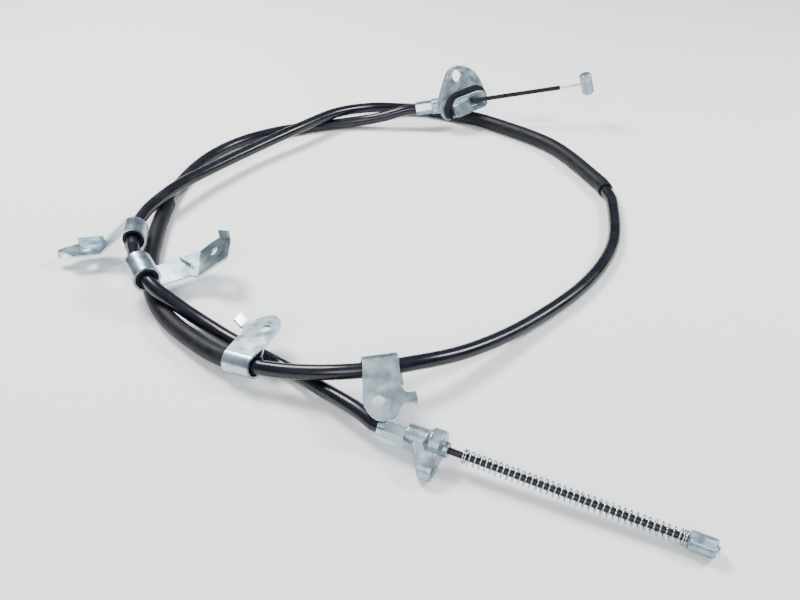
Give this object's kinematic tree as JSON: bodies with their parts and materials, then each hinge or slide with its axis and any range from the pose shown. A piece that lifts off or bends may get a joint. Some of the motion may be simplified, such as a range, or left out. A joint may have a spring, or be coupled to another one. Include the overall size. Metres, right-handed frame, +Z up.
{
  "type": "parking brake cable",
  "caption": "Long black brake cable laid in a loop, with steel mounting clips, a flanged cast outlet with a barrel nipple, and a cast rear end with a return spring.",
  "frame": {"origin": "centre of the object's bounding box, on the floor it lies on", "axes": "+Z up from the floor; +Y from the rear end towards the front outlet; +X towards the barrel nipple and the end fitting"},
  "size_m": [0.4577, 0.5416, 0.0593],
  "materials": {
    "jacket_plastic": "smooth glossy black",
    "black_rubber": "matte black",
    "liner_plastic": "smooth",
    "wire_coating": "glossy black",
    "wire_steel": "bright stranded wire",
    "spring_steel": "bright zinc plate",
    "zinc_plate": "bright bluish zinc plate",
    "cast_zinc": "satin die-cast metal"
  },
  "bodies": {
    "conduit": {"conduit_jacket": "jacket_plastic", "conduit_armour": "wire_steel", "conduit_liner": "liner_plastic", "inner_wire_core": "wire_coating", "upper_sleeve": "black_rubber", "left_sleeve": "black_rubber", "front_ferrule": "zinc_plate", "front_flange": "cast_zinc", "front_seal": "black_rubber", "rear_ferrule": "zinc_plate", "rear_housing": "cast_zinc", "middle_clip": "zinc_plate", "lower_clip": "zinc_plate", "upper_clip": "zinc_plate", "crossing_clip": "zinc_plate", "upper_bush": "black_rubber", "crossing_bush": "black_rubber", "middle_bush": "black_rubber"},
    "front_wire": {"front_wire_strand": "wire_steel", "front_wire_coat": "wire_coating", "barrel_nipple": "cast_zinc"},
    "rear_wire": {"rear_wire_strand": "wire_steel", "rear_wire_coat": "wire_coating", "end_fitting": "cast_zinc", "return_spring": "spring_steel"}
  },
  "joints": [
    {"name": "front_pull", "type": "slide", "parent": "conduit", "child": "front_wire", "axis": [0.9897, 0.0571, 0.1313], "range_m": [0, 0.025]},
    {"name": "rear_draw", "type": "slide", "parent": "conduit", "child": "rear_wire", "axis": [-0.9078, 0.4179, 0.0341], "range_m": [0, 0.025], "stiffness_N_per_m": 600, "deforming": ["return_spring"]}
  ],
  "couplings": [
    {"joint": "rear_draw", "follows": "front_pull", "ratio": 1}
  ]
}
